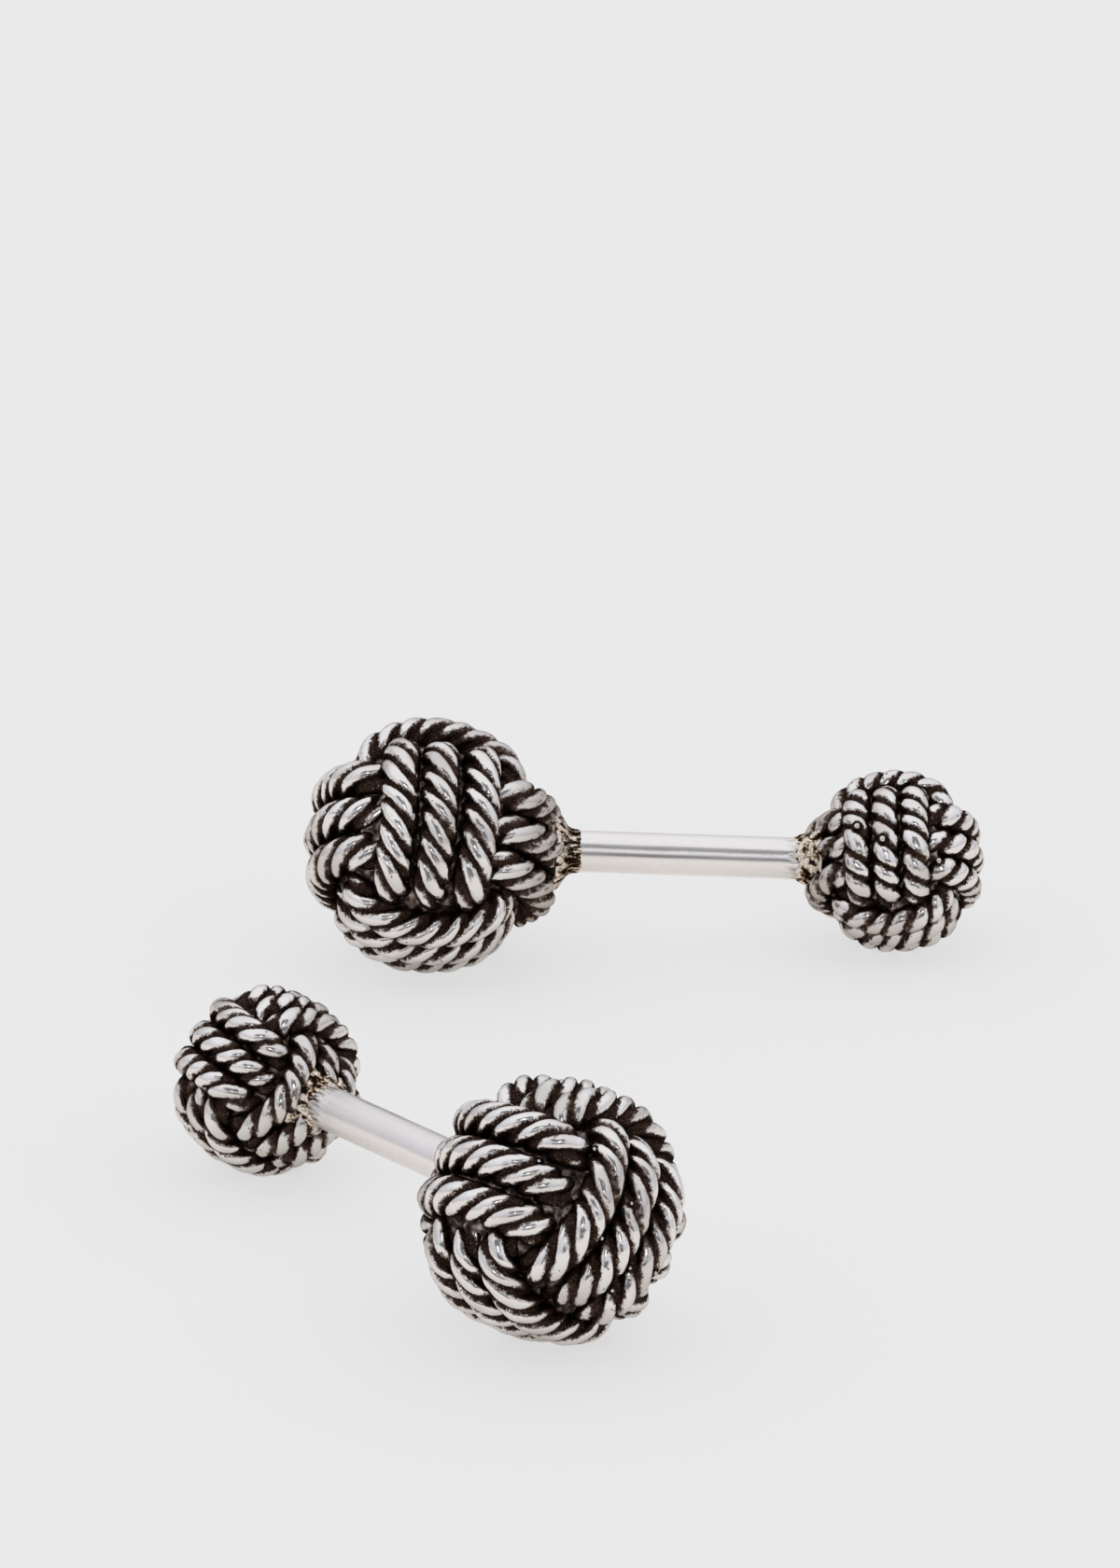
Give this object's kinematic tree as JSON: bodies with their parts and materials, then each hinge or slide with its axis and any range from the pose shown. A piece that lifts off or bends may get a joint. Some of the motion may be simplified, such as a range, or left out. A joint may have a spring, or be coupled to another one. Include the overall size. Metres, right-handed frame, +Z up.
{
  "type": "pair of rope-knot cufflinks",
  "caption": "Pair of barbell cufflinks in darkened silver: a large and a small ball knot of laid rope on the ends of a plain round post, lying on a table.",
  "frame": {"origin": "middle of the pair's outline on the table, at the height of the table", "axes": "+Z up; +X to the viewer's right and +Y away from the viewer, along the pair's longest extent"},
  "size_m": [0.0434, 0.063, 0.0134],
  "materials": {
    "rope": "silver rope with polished crests and black tarnish in the grooves",
    "core": "black tarnished silver",
    "solder": "rough, tarnished silver solder",
    "post": "polished silver with fine scratches"
  },
  "bodies": {
    "rear_cufflink": {"rear_large_core": "core", "rear_large_first_wrap": "rope", "rear_large_second_wrap": "rope", "rear_large_third_wrap": "rope", "rear_large_solder": "solder", "rear_post": "rope", "rear_small_solder": "solder", "rear_small_core": "core", "rear_small_first_wrap": "rope", "rear_small_second_wrap": "rope", "rear_small_third_wrap": "rope"},
    "front_cufflink": {"front_large_core": "core", "front_large_first_wrap": "rope", "front_large_second_wrap": "rope", "front_large_third_wrap": "rope", "front_large_solder": "solder", "front_post": "rope", "front_small_solder": "solder", "front_small_core": "core", "front_small_first_wrap": "rope", "front_small_second_wrap": "rope", "front_small_third_wrap": "rope"}
  },
  "joints": [
    {"name": "front_lift", "type": "slide", "parent": "rear_cufflink", "child": "front_cufflink", "axis": [0, 0, 1], "range_m": [0, 0.02]}
  ]
}
